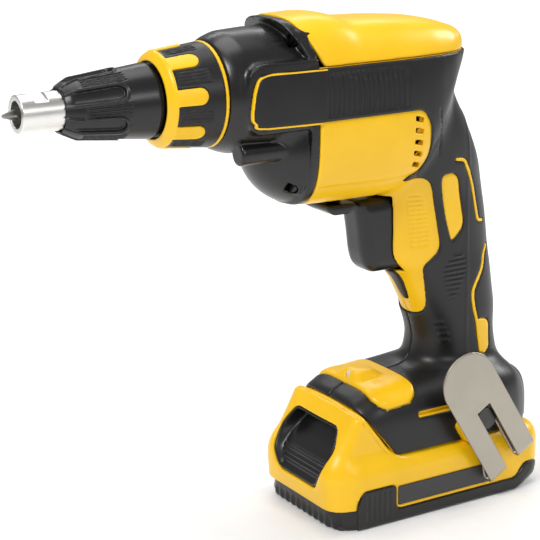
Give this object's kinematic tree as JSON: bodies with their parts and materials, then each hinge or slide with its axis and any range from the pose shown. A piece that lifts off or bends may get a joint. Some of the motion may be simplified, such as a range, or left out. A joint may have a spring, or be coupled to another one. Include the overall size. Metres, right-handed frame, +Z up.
{
  "type": "drywall screwdriver",
  "caption": "Cordless drywall screwdriver with pistol grip, depth-setting nose, lock collar, trigger, reverse lever, belt hook and slide-on battery pack.",
  "frame": {"origin": "middle of the underside of the battery pack, on the surface that the tool stands on", "axes": "+X forwards along the spindle to the bit, +Y to the tool's left, +Z up"},
  "size_m": [0.2903, 0.0842, 0.2629],
  "materials": {
    "yellow_plastic": "semi-gloss",
    "black_plastic": "satin",
    "charcoal_plastic": "satin",
    "black_rubber": "matte",
    "grey_plate": "satin",
    "pale_steel": "satin",
    "dark_steel": "satin",
    "screw_steel": "satin",
    "bronze": "satin",
    "copper_winding": "satin",
    "cast_aluminium": "cast",
    "clear_lens": "clear",
    "cell_wrap": "gloss",
    "green_board": "satin"
  },
  "bodies": {
    "housing": {"housing_left": "yellow_plastic", "housing_right": "yellow_plastic", "top_cap": "yellow_plastic", "grip_left": "black_rubber", "grip_right": "black_rubber", "side_band_left": "black_rubber", "side_band_right": "black_rubber", "gear_case": "charcoal_plastic", "gear_plate": "cast_aluminium", "front_motor_bearing": "dark_steel", "gear_bush": "bronze", "spindle_bush": "bronze", "stator": "dark_steel", "stator_windings": "copper_winding", "rear_motor_bearing": "dark_steel", "trigger_switch": "black_plastic", "trigger_spring": "dark_steel", "foot_cover": "yellow_plastic", "worklight_lens": "clear_lens", "control_module": "black_plastic", "terminal_block": "black_plastic", "belt_hook": "pale_steel", "belt_hook_screw": "screw_steel", "housing_screws": "screw_steel", "gear_case_screws": "screw_steel"},
    "trigger": {"trigger": "black_plastic"},
    "reverse_lever": {"reverse_lever": "black_plastic"},
    "lock_collar": {"lock_collar": "yellow_plastic", "collar_grip": "black_plastic"},
    "nosepiece": {"nose_adapter": "black_plastic"},
    "depth_sleeve": {"depth_sleeve": "black_plastic"},
    "nose_tip": {"nose_tip": "pale_steel"},
    "rotor": {"rotor_core": "dark_steel", "rotor_shaft": "dark_steel", "motor_pinion": "dark_steel", "fan": "black_plastic"},
    "drive_gear": {"drive_gear": "dark_steel", "clutch_spring": "dark_steel"},
    "spindle": {"spindle": "dark_steel", "bit_holder": "dark_steel", "screw_bit": "dark_steel"},
    "battery_pack": {"pack_upper_shell": "yellow_plastic", "pack_base": "black_plastic", "pack_screws": "screw_steel", "pack_label_left": "grey_plate", "pack_label_right": "grey_plate", "battery_cells": "cell_wrap", "cell_holder": "black_plastic", "pack_circuit_board": "green_board", "pack_terminals": "bronze", "release_spring": "dark_steel"},
    "release_button": {"release_button": "black_plastic"}
  },
  "joints": [
    {"name": "trigger_pull", "type": "slide", "parent": "housing", "child": "trigger", "axis": [-1, 0, 0], "range_m": [0, 0.0065], "stiffness_N_per_m": 600, "springref_m": -0.004, "deforming": ["trigger_spring"]},
    {"name": "reverse_lever_slide", "type": "slide", "parent": "housing", "child": "reverse_lever", "axis": [0, 1, 0], "range_m": [-0.003, 0.003]},
    {"name": "lock_collar_turn", "type": "hinge", "parent": "housing", "child": "lock_collar", "pos_m": [0.13, 0, 0.2275], "axis": [1, 0, 0], "range_deg": [0, 40]},
    {"name": "nosepiece_pull", "type": "slide", "parent": "housing", "child": "nosepiece", "axis": [1, 0, 0], "range_m": [0, 0.045]},
    {"name": "depth_sleeve_turn", "type": "hinge", "parent": "nosepiece", "child": "depth_sleeve", "pos_m": [0.165, 0, 0.2275], "axis": [1, 0, 0], "range_deg": [-180, 180]},
    {"name": "nose_tip_slide", "type": "slide", "parent": "nosepiece", "child": "nose_tip", "axis": [1, 0, 0], "range_m": [-0.003, 0.003]},
    {"name": "drive_gear_spin", "type": "hinge", "parent": "housing", "child": "drive_gear", "pos_m": [0.079, 0, 0.2275], "axis": [1, 0, 0], "continuous": true},
    {"name": "rotor_spin", "type": "hinge", "parent": "housing", "child": "rotor", "pos_m": [0.032, 0, 0.1975], "axis": [1, 0, 0], "continuous": true},
    {"name": "spindle_push", "type": "slide", "parent": "drive_gear", "child": "spindle", "axis": [-1, 0, 0], "range_m": [0, 0.0045], "stiffness_N_per_m": 1200, "springref_m": -0.003, "deforming": ["clutch_spring"]},
    {"name": "battery_slide", "type": "slide", "parent": "housing", "child": "battery_pack", "axis": [1, 0, 0], "range_m": [0, 0.075]},
    {"name": "release_button_press", "type": "slide", "parent": "battery_pack", "child": "release_button", "axis": [-1, 0, 0], "range_m": [0, 0.003], "stiffness_N_per_m": 1000, "springref_m": -0.002, "deforming": ["release_spring"]}
  ],
  "couplings": [
    {"joint": "rotor_spin", "follows": "drive_gear_spin", "ratio": -5},
    {"joint": "nose_tip_slide", "follows": "depth_sleeve_turn", "m_per_rad": 0.00095493}
  ]
}
